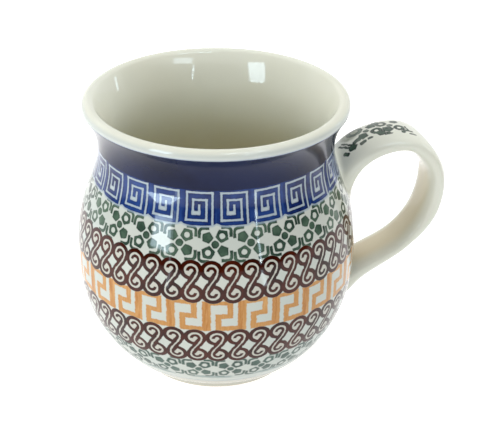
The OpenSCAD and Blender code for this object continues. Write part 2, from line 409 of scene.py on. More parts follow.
def sectionPoint(t, a):
    x, z, width, thick = stationAt(t)
    heading = headingAt(t)
    out, side = roundedSection(a)
    out *= thick / 2 + handleShape["skin"]
    side *= width / 2 + handleShape["skin"]
    return Vector((x - math.cos(heading) * out, side, z + math.sin(heading) * out))


def offBody(point):
    return math.hypot(point.x, point.y) - outerRadius(min(point.z, lipHeight))


def bodyNormal(point):
    away = math.hypot(point.x, point.y)
    return Vector((point.x / away, point.y / away, -wallSlope(point.z))).normalized()


def crossing(a, near, far):
    # where one long line of the handle comes out of the body, halved down to; near is inside it
    for _ in range(40):
        middle = (near + far) / 2
        if offBody(sectionPoint(middle, a)) < 0:
            near = middle
        else:
            far = middle
    return (near + far) / 2


def flared(t, a, root, widths):
    crown, side, under = widths
    flare = side + ((crown if math.cos(a) > 0 else under) - side) * math.cos(a) ** 2
    point = sectionPoint(t, a)
    foot = sectionPoint(root, a)
    normal = bodyNormal(foot)
    x, z = stationAt(root)[:2]
    sideways = foot - Vector((x, 0, z))
    sideways = (sideways - normal * sideways.dot(normal)).normalized()
    lift = max(0.0, offBody(point)) * normal.dot(Vector((foot.x, foot.y, 0)).normalized())
    if lift >= flare:
        return point
    return point + sideways * (flare - math.sqrt(flare ** 2 - (flare - lift) ** 2))


def wrapHandle(piece):
    # U is the length along the crown and V the way round the strap, both in tenths of a metre
    rings, sides = handleShape["rings"], handleShape["sides"]
    points = piece.data.vertices
    along = [0.0]
    for i in range(rings):
        along.append(along[-1] + (points[(i + 1) * sides].co - points[i * sides].co).length * 10)
    first = rings // 4 * sides
    around = [0.0]
    for j in range(sides):
        here, there = (j + sides // 2) % sides, (j + 1 + sides // 2) % sides
        around.append(around[-1] + (points[first + there].co - points[first + here].co).length * 10)
    layer = piece.data.uv_layers.new(name="wrap")
    for face in piece.data.polygons:
        corners = [(c, piece.data.loops[c].vertex_index) for c in face.loop_indices]
        steps = [(index + sides // 2) % sides for c, index in corners]
        for (c, index), step in zip(corners, steps):
            if max(steps) - min(steps) > 1 and step == 0:
                step = sides
            layer.data[c].uv = (along[index // sides], around[step])


def makeHandleGlaze():
    shape = handleShape
    rings, sides, settled = shape["rings"], shape["sides"], shape["settled"]
    firstT, lastT = shape["span"]
    bpy.ops.object.select_all(action="DESELECT")
    bpy.ops.mesh.primitive_circle_add(vertices=sides, radius=mm, location=(0, 0, 0))
    piece = bpy.context.object
    piece.name = "handleGlaze"
    piece.data.name = "handleGlaze"
    for number, point in enumerate(piece.data.vertices):
        out, side = roundedSection(2 * math.pi * number / sides)
        point.co.x, point.co.y = -out * mm, side * mm
    bpy.ops.object.mode_set(mode="EDIT")
    bpy.ops.mesh.select_all(action="SELECT")
    x, z, width, thick, heading = 0, 0, 2, 2, 0
    for i in range(rings + 1):
        t = firstT + (lastT - firstT) * i / rings
        nextX, nextZ, nextWidth, nextThick = stationAt(t)
        nextWidth += 2 * shape["skin"]
        nextThick += 2 * shape["skin"]
        nextHeading = headingAt(t)
        centre = (nextX * mm, 0, nextZ * mm)
        move = ((nextX - x) * mm, 0, (nextZ - z) * mm)
        if i == 0:
            bpy.ops.transform.translate(value=move)
        else:
            bpy.ops.mesh.extrude_region_move(TRANSFORM_OT_translate={"value": move})
        # with no window the rotate tool turns the other way
        bpy.ops.transform.rotate(value=heading, orient_axis="Y", center_override=centre)
        bpy.ops.transform.resize(value=(nextThick / thick, nextWidth / width, 1), center_override=centre)
        bpy.ops.transform.rotate(value=-nextHeading, orient_axis="Y", center_override=centre)
        x, z, width, thick, heading = nextX, nextZ, nextWidth, nextThick, nextHeading
    bpy.ops.object.mode_set(mode="OBJECT")

    # the rings next to the body are slid along the handle and spread on to its surface
    points = piece.data.vertices
    reach = (lastT - firstT) * settled / rings
    for j in range(sides):
        a = 2 * math.pi * j / sides
        ends = (
            (crossing(a, *shape["upperSearch"]), firstT + reach, 0, 1, shape["upperFlare"]),
            (crossing(a, *shape["lowerSearch"]), lastT - reach, rings, -1, shape["lowerFlare"]),
        )
        for root, free, end, way, flare in ends:
            for i in range(settled):
                part = (i - 1) / (settled - 1)
                t = root + (free - root) * max(part, 0) ** shape["settleCurve"]
                place = flared(t, a, root, flare)
                if i <= 1:
                    depth = shape["sink"] if i == 0 else -shape["clear"]
                    scale = (outerRadius(place.z) - depth) / math.hypot(place.x, place.y)
                    place = Vector((place.x * scale, place.y * scale, place.z))
                points[(end + way * i) * sides + j].co = place * mm
    wrapHandle(piece)

    bpy.ops.object.mode_set(mode="EDIT")
    bpy.ops.mesh.select_all(action="SELECT")
    bpy.ops.mesh.remove_doubles(threshold=meshDetail["weld"] / 2 * mm)
    bpy.ops.mesh.normals_make_consistent(inside=False)
    bpy.ops.object.mode_set(mode="OBJECT")
    coat = piece.modifiers.new("coat", "SOLIDIFY")
    coat.thickness = mugShape["coat"] * mm
    coat.offset = -1
    bpy.ops.object.modifier_apply(modifier="coat")
    bpy.ops.object.shade_smooth_by_angle(angle=shape["smooth"])
    return piece


made["handleGlaze"] = makeHandleGlaze()
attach(made["handleGlaze"], "root")
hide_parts("handle_glaze")
print("handle drawn out:", len(made["handleGlaze"].data.polygons), "faces")

# ---- node groups for the stamps ----


class NodeBench:
    # puts nodes into a tree in tidy columns and wires them up
    def __init__(self, tree):
        self.tree = tree
        self.placed = 0

    def feed(self, socket, value):
        if isinstance(value, bpy.types.NodeSocket):
            self.tree.links.new(value, socket)
        else:
            socket.default_value = value

    def add(self, kind, values=None, **settings):
        node = self.tree.nodes.new(kind)
        for key, value in settings.items():
            setattr(node, key, value)
        for key, value in (values or {}).items():
            self.feed(node.inputs[key], value)
        node.location = (self.placed // 6 * 190, -(self.placed % 6) * 170)
        self.placed += 1
        return node

    def math(self, operation, *values):
        return self.add("ShaderNodeMath", dict(enumerate(values)), operation=operation).outputs[0]

    def plus(self, first, second):
        return self.math("ADD", first, second)

    def minus(self, first, second):
        return self.math("SUBTRACT", first, second)

    def times(self, first, second):
        return self.math("MULTIPLY", first, second)

    def least(self, first, second):
        return self.math("MINIMUM", first, second)

    def most(self, first, second):
        return self.math("MAXIMUM", first, second)

    def off(self, value, middle):
        return self.math("ABSOLUTE", self.minus(value, middle))

    def vector(self, operation, *values):
        node = self.add("ShaderNodeVectorMath", operation=operation)
        for place, value in enumerate(values):
            self.feed(node.inputs["Scale" if operation == "SCALE" and place else place], value)
        return node.outputs["Value" if operation in ("LENGTH", "DOT_PRODUCT", "DISTANCE") else "Vector"]

    def split(self, vector):
        return self.add("ShaderNodeSeparateXYZ", {0: vector}).outputs

    def join(self, x, y, z=0.0):
        return self.add("ShaderNodeCombineXYZ", {0: x, 1: y, 2: z}).outputs[0]

    def ramp(self, value, fromLow, fromHigh, toLow=0.0, toHigh=1.0):
        values = {"Value": value, "From Min": fromLow, "From Max": fromHigh,
                  "To Min": toLow, "To Max": toHigh}
        return self.add("ShaderNodeMapRange", values, interpolation_type="SMOOTHSTEP").outputs[0]

    def fall(self, value, low, high, top=1.0):
        return self.ramp(value, low, high, top, 0.0)

    def noise(self, place, scale, detail=1.0, roughness=0.5):
        values = {"Vector": place, "Scale": scale, "Detail": detail, "Roughness": roughness}
        return self.add("ShaderNodeTexNoise", values).outputs

    def patches(self, place, scale, detail, *limits, roughness=0.5):
        # noise brought between two limits
        return self.ramp(self.noise(place, scale, detail, roughness)["Fac"], *limits)

    def drift(self, place, amount, scale, detail=0.0, roughness=0.5):
        # a shift that wanders about nothing
        colour = self.noise(place, scale, detail, roughness)["Color"]
        return self.vector("SCALE", self.vector("SUBTRACT", colour, (0.5, 0.5, 0.5)), amount)

    def mix(self, amount, first, second):
        return self.add("ShaderNodeMix", {0: amount, 6: first, 7: second}, data_type="RGBA").outputs[2]

    def group(self, tree, **values):
        return self.add("ShaderNodeGroup", values, node_tree=tree).outputs

    def edge(self, tree, point, **values):
        return self.group(tree, Point=point, **values)["Distance"]

    def nearest(self, distances, blend=None):
        # the least of several distances, run into each other where a blend is given
        closest, *others = distances
        for distance in others:
            if blend:
                closest = self.math("SMOOTH_MIN", closest, distance, blend)
            else:
                closest = self.least(closest, distance)
        return closest


socketKinds = {"": "NodeSocketFloat", "vector": "NodeSocketVector", "colour": "NodeSocketColor"}


def newGroup(name, inputs, outputs):
    # a socket is a number unless its label says what else it is
    tree = bpy.data.node_groups.new(name, "ShaderNodeTree")
    for way, labels in (("INPUT", inputs), ("OUTPUT", outputs)):
        for entry in labels.split():
            label, colon, kind = entry.partition(":")
            tree.interface.new_socket(name=label, in_out=way, socket_type=socketKinds[kind])
    bench = NodeBench(tree)
    given = bench.add("NodeGroupInput").outputs
    return tree, bench, given, tree.nodes.new("NodeGroupOutput").inputs


# distance in mm from a straight-sided block, below zero inside it
blockEdge, bench, given, result = newGroup(
    "blockEdge", "Point:vector Middle:vector Half:vector", "Distance")
away = bench.vector("ABSOLUTE", bench.vector("SUBTRACT", given["Point"], given["Middle"]))
over = bench.split(bench.vector("SUBTRACT", away, given["Half"]))
bench.feed(result["Distance"], bench.most(over[0], over[1]))

# distance from a round dot
dotEdge, bench, given, result = newGroup(
    "dotEdge", "Point:vector Middle:vector Radius", "Distance")
away = bench.vector("DISTANCE", given["Point"], given["Middle"])
bench.feed(result["Distance"], bench.minus(away, given["Radius"]))

# distance from a blunt pentagon
petalShape = {"corners": 5, "flatness": 0.85}
petalEdge, bench, given, result = newGroup(
    "petalEdge", "Point:vector Middle:vector Radius Turn", "Distance")
away = bench.vector("SUBTRACT", given["Point"], given["Middle"])
across = bench.split(away)
bearing = bench.minus(bench.math("ARCTAN2", across[1], across[0]), given["Turn"])
halfSide = math.pi / petalShape["corners"]
bearing = bench.math("WRAP", bearing, halfSide, -halfSide)
bulge = bench.times(bench.minus(1.0, bench.math("COSINE", bearing)), petalShape["flatness"])
length = bench.times(bench.vector("LENGTH", away), bench.minus(1.0, bulge))
bench.feed(result["Distance"], bench.minus(length, given["Radius"]))

# distance from a straight stroke with round ends
strokeEdge, bench, given, result = newGroup(
    "strokeEdge", "Point:vector Start:vector End:vector Half", "Distance")
fromStart = bench.vector("SUBTRACT", given["Point"], given["Start"])
run = bench.vector("SUBTRACT", given["End"], given["Start"])
along = bench.vector("DOT_PRODUCT", fromStart, run)
share = bench.math("DIVIDE", along, bench.vector("DOT_PRODUCT", run, run))
share = bench.add("ShaderNodeClamp", {"Value": share}).outputs[0]
gap = bench.vector("SUBTRACT", fromStart, bench.vector("SCALE", run, share))
bench.feed(result["Distance"], bench.minus(bench.vector("LENGTH", gap), given["Half"]))

# distance from part of a ring; Bearing of its middle and Sweep to each side in radians
hookEdge, bench, given, result = newGroup(
    "hookEdge", "Point:vector Middle:vector Radius Half Bearing Sweep", "Distance")
away = bench.vector("SUBTRACT", given["Point"], given["Middle"])
across = bench.split(away)
bearing = bench.minus(bench.math("ARCTAN2", across[1], across[0]), given["Bearing"])
bearing = bench.math("ABSOLUTE", bench.math("WRAP", bearing, math.pi, -math.pi))
past = bench.times(bench.minus(bearing, given["Sweep"]), given["Radius"])
ringGap = bench.off(bench.vector("LENGTH", away), given["Radius"])
bench.feed(result["Distance"], bench.most(bench.minus(ringGap, given["Half"]), past))

# a distance made into ink with a soft edge
inkEdge, bench, given, result = newGroup("inkEdge", "Distance Soft", "Mask")
low = bench.times(given["Soft"], -1.0)
bench.feed(result["Mask"], bench.fall(given["Distance"], low, given["Soft"]))

# where on its own stamp a point lies, in mm, with the unevenness of stamping by hand
handSway = {"slow": 52.0, "quick": 1050.0, "quickDetail": 1.5, "quickRoughness": 0.6, "tilt": 0.045}
stampPlace, bench, given, result = newGroup(
    "stampPlace", "Wrap:vector Place:vector Count Start Base Pitch Lead Wander Wobble",
    "Point:vector Long Unit")
wrap = bench.split(given["Wrap"])
slow = bench.drift(given["Place"], given["Wander"], handSway["slow"])
quick = bench.drift(given["Place"], given["Wobble"], handSway["quick"], handSway["quickDetail"],
                    handSway["quickRoughness"])
drift = bench.split(bench.vector("ADD", slow, quick))
units = bench.times(bench.minus(wrap[0], given["Start"]), given["Count"])
long = bench.plus(bench.times(units, given["Pitch"]), drift[0])
cell = bench.math("DIVIDE", bench.minus(long, given["Lead"]), given["Pitch"])
number = bench.math("FLOOR", cell)
x = bench.plus(bench.times(bench.minus(cell, number), given["Pitch"]), given["Lead"])
seed = bench.math("FLOORED_MODULO", number, given["Count"])
chance = bench.add("ShaderNodeTexWhiteNoise", {"W": seed}, noise_dimensions="1D").outputs["Value"]
tilt = bench.times(bench.minus(chance, 0.5), handSway["tilt"])
y = bench.minus(bench.times(wrap[1], 100.0), given["Base"])
y = bench.plus(bench.plus(y, drift[1]), bench.times(x, tilt))
bench.feed(result["Point"], bench.join(x, y))
bench.feed(result["Long"], long)
bench.feed(result["Unit"], chance)

# colour of stamped ink: patchy wash, darker where it gathers at the edge
washTone = {"patch": 0.38, "unit": 0.3, "cloud": 0.3, "edge": (-0.55, -0.05)}
inkWash, bench, given, result = newGroup(
    "inkWash", "Place:vector Distance Unit Gather Thin:colour Full:colour", "Color:colour")
patch = bench.patches(given["Place"], 330.0, 2.0, 0.3, 0.72, roughness=0.55)
cloud = bench.patches(given["Place"], 85.0, 1.0, 0.32, 0.68)
edge = bench.ramp(given["Distance"], *washTone["edge"])
tone = bench.plus(bench.times(patch, washTone["patch"]), bench.times(given["Unit"], washTone["unit"]))
tone = bench.plus(tone, bench.times(cloud, washTone["cloud"]))
tone = bench.plus(tone, bench.times(edge, given["Gather"]))
tone = bench.add("ShaderNodeClamp", {"Value": tone}).outputs[0]
bench.feed(result["Color"], bench.mix(tone, given["Thin"], given["Full"]))

# the clear glaze itself: faint waves, unevenness of gloss and slow changes of tint
glazeWaves = {"wave": 130.0, "peel": 520.0, "peelHeight": 0.12, "smear": 38.0, "smearDulls": 0.035,
              "cloud": 24.0, "relief": 0.022, "refraction": 1.5}
glazeSkin, bench, given, result = newGroup("glazeSkin", "Place:vector Gloss", "Height Roughness Cloud")
wave = bench.noise(given["Place"], glazeWaves["wave"], 1.0, 0.4)["Fac"]
peel = bench.noise(given["Place"], glazeWaves["peel"])["Fac"]
bench.feed(result["Height"], bench.plus(wave, bench.times(peel, glazeWaves["peelHeight"])))
smear = bench.patches(given["Place"], glazeWaves["smear"], 3.0, 0.35, 0.7)
bench.feed(result["Roughness"], bench.plus(given["Gloss"], bench.times(smear, glazeWaves["smearDulls"])))
bench.feed(result["Cloud"], bench.patches(given["Place"], glazeWaves["cloud"], 2.0, 0.3, 0.7))


def sideOf(bench, y):
    # 1 above the stamp's middle and -1 below it
    return bench.minus(bench.times(bench.math("GREATER_THAN", y, 0.0), 2.0), 1.0)


def boxEdges(bench, point, boxes):
    # distance from each of several boxes, given as low x, high x, low y, high y
    return [bench.edge(blockEdge, point, Middle=((x0 + x1) / 2, (y0 + y1) / 2, 0),
                       Half=((x1 - x0) / 2, (y1 - y0) / 2, 0)) for x0, x1, y0, y1 in boxes]


# square key: one unbroken light line left open in the blue
keyShape = {
    "path": [(8.0, -1.2), (8.0, 10.25), (0, 10.25), (0, 1.5), (6.15, 1.5), (6.15, 7.9), (1.95, 7.9),
             (1.95, 3.8), (3.92, 3.8), (3.92, 6.1)],
    "half": 0.33, "foot": (1.63, 4.23, 3.12, 4.36), "blend": 0.4,
    "middle": 4.0, "bowReach": 4.8, "bowPower": 6.0, "bowMost": 1.5, "bowLift": 0.45, "lower": -0.1,
    "seam": 9.15, "seamWidth": (0.1, 0.5), "seamHeight": (0.5, 7.5),
}
keyStamp, bench, given, result = newGroup("keyStamp", "Point:vector", "Distance Seam")
line = keyShape["half"]
boxes = [keyShape["foot"]] + [
    (min(x0, x1) - line, max(x0, x1) + line, min(y0, y1) - line, max(y0, y1) + line)
    for (x0, y0), (x1, y1) in zip(keyShape["path"], keyShape["path"][1:])]
closest = bench.nearest(boxEdges(bench, given["Point"], boxes), keyShape["blend"])
x, y = bench.split(given["Point"])[:2]
# the lower edge dips under each stamp and lifts at its ends
bow = bench.math("DIVIDE", bench.off(x, keyShape["middle"]), keyShape["bowReach"])
bow = bench.least(bench.math("POWER", bow, keyShape["bowPower"]), keyShape["bowMost"])
below = bench.minus(bench.plus(bench.times(bow, keyShape["bowLift"]), keyShape["lower"]), y)
bench.feed(result["Distance"], bench.most(bench.times(closest, -1.0), below))
seam = bench.fall(bench.off(x, keyShape["seam"]), *keyShape["seamWidth"])
bench.feed(result["Seam"], bench.times(seam, bench.fall(y, *keyShape["seamHeight"])))

# rosette: a dot, two full petals, two open ones and a broken frame round them
rosetteShape = {
    "dot": 1.22, "full": (-2.42, 2.1, 0), "fullRadius": 1.6, "fullTurn": math.radians(34),
    "open": (2.2, 2.62, 0), "openRadius": 1.84, "openTurn": math.radians(9), "eye": 0.9,
    "corner": (3.7, 4.05, 0), "cornerDrop": 0.35, "cornerRadius": 1.28, "half": 0.49, "arm": -1.8,
}
rosetteStamp, bench, given, result = newGroup("rosetteStamp", "Point:vector", "Distance")
x, y = bench.split(given["Point"])[:2]
half = bench.vector("SCALE", given["Point"], sideOf(bench, y))
dot = bench.edge(dotEdge, given["Point"], Middle=(0, 0, 0), Radius=rosetteShape["dot"])
full = bench.edge(petalEdge, half, Middle=rosetteShape["full"], Radius=rosetteShape["fullRadius"],
                  Turn=rosetteShape["fullTurn"])
ring = bench.edge(petalEdge, half, Middle=rosetteShape["open"], Radius=rosetteShape["openRadius"],
                  Turn=rosetteShape["openTurn"])
eye = bench.edge(dotEdge, half, Middle=rosetteShape["open"], Radius=rosetteShape["eye"])
ring = bench.most(ring, bench.times(eye, -1.0))
halfX, halfY = bench.split(half)[:2]
lowered = bench.times(bench.math("LESS_THAN", halfX, 0.0), rosetteShape["cornerDrop"])
corner = bench.join(bench.math("ABSOLUTE", x), bench.plus(halfY, lowered))
corner = bench.vector("SUBTRACT", corner, rosetteShape["corner"])
bend = bench.vector("LENGTH", bench.vector("MAXIMUM", corner, (0, 0, 0)))
insideX, insideY = bench.split(corner)[:2]
inner = bench.least(bench.most(insideX, insideY), 0.0)
frameLine = bench.off(bench.plus(bend, inner), rosetteShape["cornerRadius"])
frameLine = bench.minus(frameLine, rosetteShape["half"])
arm = rosetteShape["arm"]
frameLine = bench.most(frameLine, bench.most(bench.minus(arm, insideX), bench.minus(arm, insideY)))
bench.feed(result["Distance"], bench.least(bench.least(dot, full), bench.least(ring, frameLine)))

# running scroll: an S of a light line inside brown, every turn the same upside down
scrollShape = {
    "shift": 0.2, "squat": (1, 1.12, 1),      # the two rounds are a little wider than tall
    "disc": {"Middle": (-0.2, 4.34, 0), "Radius": 3.62},
    "clear": {"Middle": (-0.18, 4.34, 0), "Radius": 2.24},
    "neck": {"Start": (0, 0, 0), "End": (1.1, 1.65, 0), "Half": 1.3}, "neckBlend": 0.5,
    "clearNeck": {"Start": (0, 0, 0), "End": (1.05, 1.5, 0), "Half": 0.22},
    "clearBend": {"Start": (1.05, 1.5, 0), "End": (1.62, 2.85, 0), "Half": 0.32}, "clearBlend": 0.2,
    "hook": {"Middle": (-0.15, 3.55, 0), "Radius": 1.18, "Half": 0.48,
             "Bearing": math.radians(65), "Sweep": math.radians(115)},
    "tail": {"Start": (0.8, 2.9, 0), "End": (-0.2, 1.5, 0), "Half": 0.58},
}
scrollStamp, bench, given, result = newGroup("scrollStamp", "Long Point:vector Pitch", "Distance Shape")
y = bench.split(given["Point"])[1]
halfPitch = bench.times(given["Pitch"], 0.5)
shifted = bench.plus(bench.times(given["Long"], sideOf(bench, y)), scrollShape["shift"])
x = bench.math("WRAP", shifted, halfPitch, bench.times(halfPitch, -1.0))
half = bench.join(bench.minus(x, scrollShape["shift"]), bench.math("ABSOLUTE", y))
squat = bench.vector("MULTIPLY", half, scrollShape["squat"])
disc, clear = [bench.edge(dotEdge, squat, **scrollShape[part]) for part in ("disc", "clear")]
neck, clearNeck, clearBend, tail = [bench.edge(strokeEdge, half, **scrollShape[part])
                                    for part in ("neck", "clearNeck", "clearBend", "tail")]
hook = bench.least(bench.edge(hookEdge, half, **scrollShape["hook"]), tail)
clearNeck = bench.math("SMOOTH_MIN", clearNeck, clearBend, scrollShape["clearBlend"])
shape = bench.math("SMOOTH_MIN", disc, neck, scrollShape["neckBlend"])
light = bench.most(bench.least(clear, clearNeck), bench.times(hook, -1.0))
bench.feed(result["Distance"], bench.most(shape, bench.times(light, -1.0)))
bench.feed(result["Shape"], shape)

# meander: two light hooks that interlock, the rest ochre
meanderShape = {
    "lights": [(0, 1.45, -1.5, 9.85), (0, 5.15, 6.7, 9.85), (7.0, 8.55, 2.1, 12.5), (3.35, 8.55, 2.1, 5.0)],
    "low": 0.35, "high": 11.3, "bar": 9.65, "barWidth": (0.3, 1.2),
}
meanderStamp, bench, given, result = newGroup("meanderStamp", "Point:vector", "Distance Bar")
closest = bench.nearest(boxEdges(bench, given["Point"], meanderShape["lights"]))
x, y = bench.split(given["Point"])[:2]
outside = bench.most(bench.minus(meanderShape["low"], y), bench.minus(y, meanderShape["high"]))
bench.feed(result["Distance"], bench.most(bench.times(closest, -1.0), outside))
bench.feed(result["Bar"], bench.fall(bench.off(x, meanderShape["bar"]), *meanderShape["barWidth"]))
print("stamp groups ready:", len(bpy.data.node_groups))

# ---- materials ----


def linear(red, green, blue):
    def one(value):
        value /= 255
        return value / 12.92 if value <= 0.04045 else ((value + 0.055) / 1.055) ** 2.4
    return (one(red), one(green), one(blue), 1.0)


glazeColours = {
    "cream": linear(226, 229, 216), "creamWarm": linear(221, 222, 206), "creamShaded": linear(224, 216, 188),
    "ground": linear(201, 205, 196), "groundCool": linear(193, 202, 195), "footShade": linear(188, 185, 168),
    "lipShadeCool": linear(196, 204, 201), "lipBlue": linear(140, 160, 190), "liningShade": linear(211, 204, 174),
    "blueThin": linear(42, 72, 136), "blueFull": linear(6, 18, 70), "blueTinge": linear(152, 170, 186),
    "greenThin": linear(92, 117, 98), "greenFull": linear(28, 50, 42), "greenDark": linear(20, 40, 34),
    "greenSmear": linear(116, 126, 102), "tealThin": linear(78, 106, 94), "tealFull": linear(26, 56, 48),
    "greyWash": linear(128, 148, 144), "footLine": linear(150, 166, 172),
    "brownThin": linear(80, 28, 12), "brownFull": linear(30, 4, 1), "scrollLight": linear(194, 194, 183),
    "ochreThin": linear(207, 160, 100), "ochreFull": linear(191, 139, 77), "ochreBar": linear(178, 117, 54),
    "cobaltThin": linear(12, 26, 66), "cobaltFull": linear(3, 10, 42),
    "cobaltRunOut": linear(112, 126, 156),
}

# how many stamps go round, where the first one starts and how high, how unevenly they are set down
# (wander and wobble, in mm), how soft the ink's edge is and how much it gathers there
stampLayers = {
    "key": {"count": 23, "start": 0.7276, "height": bandTops["upperRosette"], "pitch": 10.8, "lead": -1.4,
            "wander": 0.55, "wobble": 0.3, "soft": 0.13, "ink": "blue", "gather": 0.25},
    "upperRosette": {"count": 24, "start": 0.7198, "height": 64.3, "pitch": 11.05, "lead": -5.52,
                     "wander": 0.7, "wobble": 0.4, "soft": 0.17, "ink": "green", "gather": 0.3},
    "lowerRosette": {"count": 25, "start": 0.7388, "height": 17.38, "pitch": 11.0, "lead": -5.5,
                     "wander": 0.7, "wobble": 0.5, "soft": 0.3, "ink": "teal", "gather": 0.3},
    "upperScroll": {"count": 45, "start": 0.7163, "height": 52.66, "pitch": 6.37, "lead": -3.18,
                    "wander": 0.5, "wobble": 0.26, "soft": 0.13, "ink": "brown", "gather": 0.25},
    "lowerScroll": {"count": 42, "start": 0.7222, "height": 28.77, "pitch": 6.69, "lead": -3.34,
                    "wander": 0.5, "wobble": 0.26, "soft": 0.15, "ink": "brown", "gather": 0.25},
    "meander": {"count": 26, "start": 0.7147, "height": bandTops["lowerScroll"], "pitch": 11.33,
                "lead": -0.6, "wander": 0.6, "wobble": 0.7, "soft": 0.17, "ink": "ochre", "gather": 0.2},
}


def newMaterial(name):
    material = bpy.data.materials.new(name)
    material.use_nodes = True
    material.node_tree.nodes.clear()
    return material, NodeBench(material.node_tree)


def startGlaze(name, roughness, light="cream", dark="creamWarm"):
    material, bench = newMaterial(name)
    place = bench.add("ShaderNodeTexCoord").outputs["Object"]
    skin = bench.group(glazeSkin, Place=place, Gloss=roughness)
    return material, bench, place, skin, bench.mix(skin["Cloud"], glazeColours[light], glazeColours[dark])


def finishGlaze(bench, skin, colour, shine=0.3):
    relief = bench.add("ShaderNodeBump", {
        "Strength": 1.0, "Distance": glazeWaves["relief"] * mm, "Height": skin["Height"]})
    shader = bench.add("ShaderNodeBsdfPrincipled", {
        "IOR": glazeWaves["refraction"], "Specular IOR Level": shine, "Base Color": colour,
        "Roughness": skin["Roughness"], "Normal": relief.outputs[0]})
    bench.add("ShaderNodeOutputMaterial", {"Surface": shader.outputs[0]})


def tinted(bench, amount, underneath, colour):
    return bench.mix(amount, underneath, glazeColours[colour])


def stampOn(bench, wrap, place, layer, underneath):
    setup = stampLayers[layer]
    spot = bench.group(stampPlace, Wrap=wrap, Place=place, Count=setup["count"], Start=setup["start"],
                       Base=alongWall(setup["height"]), Pitch=setup["pitch"], Lead=setup["lead"],
                       Wander=setup["wander"], Wobble=setup["wobble"])
    if layer.endswith("Scroll"):
        stamp = bench.group(scrollStamp, Long=spot["Long"], Point=spot["Point"], Pitch=setup["pitch"])
    else:
        form = {"key": keyStamp, "meander": meanderStamp}.get(layer, rosetteStamp)
        stamp = bench.group(form, Point=spot["Point"])
    thin, full = glazeColours[setup["ink"] + "Thin"], glazeColours[setup["ink"] + "Full"]
    ink = bench.group(inkWash, Place=place, Distance=stamp["Distance"], Unit=spot["Unit"],
                      Gather=setup["gather"], Thin=thin, Full=full)[0]
    if layer == "key":
        # blue bleeds a little into the light line and thins towards the seam
        underneath = tinted(bench, bench.fall(stamp["Distance"], 0.2, 0.9, 0.75), underneath, "blueTinge")
        ink = tinted(bench, bench.times(stamp["Seam"], 0.5), ink, "blueThin")
    elif layer == "meander":
        # the brush leaves upright streaks, strongest in the upright bars
        stroke = bench.join(spot["Long"], bench.split(spot["Point"])[1])
        streak = bench.patches(bench.vector("MULTIPLY", stroke, (1.9, 0.16, 1.0)), 1.0, 2.0, 0.3, 0.68)
        ink = tinted(bench, bench.times(streak, 0.45), ink, "ochreBar")
        ink = tinted(bench, bench.times(streak, stamp["Bar"]), ink, "ochreBar")
    elif layer.endswith("Scroll"):
        inside = bench.group(inkEdge, Distance=stamp["Shape"], Soft=0.12)[0]
        underneath = tinted(bench, inside, underneath, "scrollLight")
    mask = bench.group(inkEdge, Distance=stamp["Distance"], Soft=setup["soft"])[0]
    return bench.mix(mask, underneath, ink)


# where two bands meet, each shows the stamps of its neighbour that run over the line
bandPaint = {
    "keyBand": {"finish": "blueKeyGlaze", "slot": "blue_key_glaze", "layers": ["upperRosette", "key"]},
    "upperRosetteBand": {"finish": "upperRosetteGlaze", "slot": "green_rosette_glaze",
                         "layers": ["upperRosette", "upperScroll", "key"]},
    "upperScrollBand": {"finish": "upperScrollGlaze", "slot": "brown_scroll_glaze",
                        "layers": ["upperRosette", "meander", "upperScroll"]},
    "meanderBand": {"finish": "ochreMeanderGlaze", "slot": "ochre_meander_glaze",
                    "layers": ["meander", "upperScroll", "lowerScroll"]},
    "lowerScrollBand": {"finish": "lowerScrollGlaze", "slot": "brown_scroll_glaze",
                        "layers": ["meander", "lowerRosette", "lowerScroll"]},
    "lowerRosetteBand": {"finish": "lowerRosetteGlaze", "slot": "green_rosette_glaze",
                         "layers": ["lowerRosette", "lowerScroll"]},
    "footGlaze": {"finish": "footCreamGlaze", "slot": "cream_glaze", "layers": ["lowerRosette"]},
}
# heights here are lengths along the wall in mm
footPaint = {"wash": 18.9, "washRipple": 3.4, "washTone": 0.85, "line": 13.6, "lineRipple": 1.2,
             "lineTone": 0.65, "lowShadeSpan": (11.5, 14.0), "lowShadeTone": 0.9}


def greyWash(bench, place, tall, colour):
    # the lowest green has run and left a pale grey wash
    ripple = bench.times(bench.noise(place, 170.0, 2.0)["Fac"], footPaint["washRipple"])
    wash = bench.off(bench.plus(tall, ripple), footPaint["wash"])
    wash = bench.fall(wash, 0.3, 1.5, footPaint["washTone"])
    return tinted(bench, bench.times(wash, bench.patches(place, 110.0, 1.0, 0.3, 0.5)), colour, "greyWash")


def footShadeAndLine(bench, place, tall, colour):
    # darker and warmer towards the bare ring, painted shade near the table, with a thin bluish-grey line
    # round the foot
    ripple = bench.times(bench.noise(place, 90.0, 2.0)["Fac"], footPaint["lineRipple"])
    line = bench.off(bench.plus(tall, ripple), footPaint["line"])
    line = bench.fall(line, 0.1, 0.9, footPaint["lineTone"])
    lowShade = bench.fall(tall, *footPaint["lowShadeSpan"], footPaint["lowShadeTone"])
    return tinted(bench, line, tinted(bench, lowShade, colour, "footShade"), "footLine")


def wrapOf(bench):
    # the piece's wrap, and the length along the wall in mm
    wrap = bench.add("ShaderNodeUVMap", uv_map="wrap").outputs[0]
    return wrap, bench.times(bench.split(wrap)[1], 100.0)


for name, paint in bandPaint.items():
    material, bench, place, skin, colour = startGlaze(paint["finish"], 0.06, "ground", "groundCool")
    wrap, tall = wrapOf(bench)
    for layer in paint["layers"]:
        colour = stampOn(bench, wrap, place, layer, colour)
    if name in ("footGlaze", "lowerRosetteBand"):
        colour = greyWash(bench, place, tall, colour)
    if name == "footGlaze":
        colour = footShadeAndLine(bench, place, tall, colour)
    finishGlaze(bench, skin, colour)
    made[name].data.materials.append(material)

